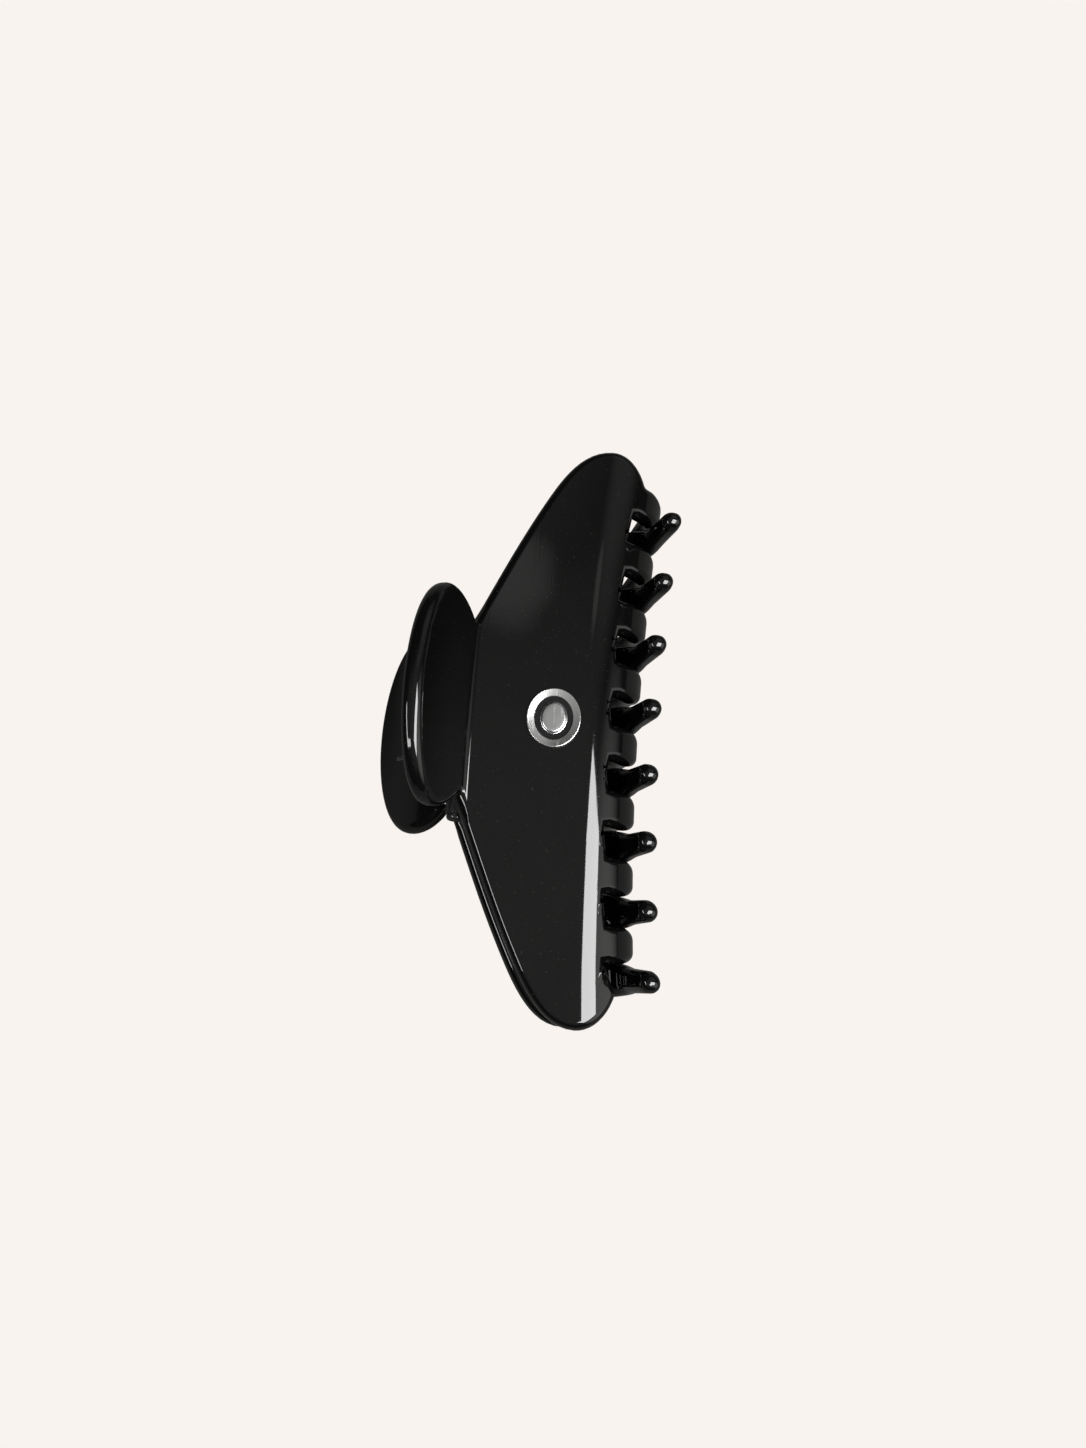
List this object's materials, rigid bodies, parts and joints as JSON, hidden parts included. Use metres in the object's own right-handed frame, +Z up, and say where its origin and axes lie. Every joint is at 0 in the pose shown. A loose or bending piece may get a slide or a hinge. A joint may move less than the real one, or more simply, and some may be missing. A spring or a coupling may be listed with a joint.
{
  "type": "hair claw clip",
  "caption": "Large closed hair claw: two bent sheet jaws with interleaved teeth, thumb tabs, a sprung hinge and a small metal plaque.",
  "frame": {"origin": "on the table, in the middle of the closed claw's box seen from above", "axes": "+X from the thumb tabs to the teeth, +Y along the hinge axis, +Z up out of the front jaw as the closed claw lies on its rear jaw"},
  "size_m": [0.0538, 0.1042, 0.0433],
  "materials": {
    "black_acetate": "polished, fully rounded edges",
    "black_metal": "black lacquer",
    "screw_steel": "blackened",
    "pin_steel": "blackened",
    "spring_steel": "drawn wire",
    "polished_silver": "polished plating"
  },
  "bodies": {
    "rear": {"rear_jaw": "black_acetate", "rear_hinge_leaf": "black_metal", "rear_leaf_screws": "screw_steel", "hinge_pin": "pin_steel", "hinge_pin_cap": "black_metal", "torsion_spring": "spring_steel"},
    "front": {"front_jaw": "black_acetate", "front_hinge_leaf": "black_metal", "front_leaf_screws": "screw_steel", "emblem_plaque": "polished_silver"}
  },
  "joints": [
    {"name": "jaw_hinge", "type": "hinge", "parent": "rear", "child": "front", "pos_m": [-0.00989, 0, 0.01975], "axis": [0, -1, 0], "range_deg": [0, 55], "stiffness_Nm_per_rad": 0.12, "springref_deg": -45.84, "deforming": ["torsion_spring"]}
  ]
}
